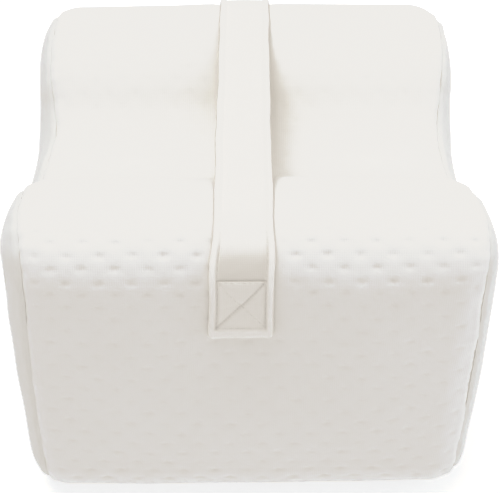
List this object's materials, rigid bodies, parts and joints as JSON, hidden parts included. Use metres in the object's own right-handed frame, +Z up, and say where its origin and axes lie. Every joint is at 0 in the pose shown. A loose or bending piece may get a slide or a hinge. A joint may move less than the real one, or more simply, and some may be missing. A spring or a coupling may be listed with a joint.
{
  "type": "knee pillow",
  "caption": "Hourglass knee pillow with rounded lobes above and below, inset side panels and a flat strap over its upper hollow.",
  "frame": {"origin": "on the resting surface, under the middle of the pillow", "axes": "+Z up, -Y the front face with the sewn strap end that the picture shows, +X to the right seen from the front; the hollows run along X"},
  "size_m": [0.25, 0.256, 0.191],
  "materials": {
    "cover_knit": "matte off-white double knit with a staggered lattice of small pressed dimples",
    "panel_knit": "matte smooth white knit, a little cooler than the band",
    "strap_knit": "matte padded white knit tape with rolled, topstitched borders"
  },
  "bodies": {
    "root": {"cushion": "cover_knit", "side_panel_left": "panel_knit", "side_panel_right": "panel_knit", "strap": "strap_knit"}
  },
  "joints": []
}
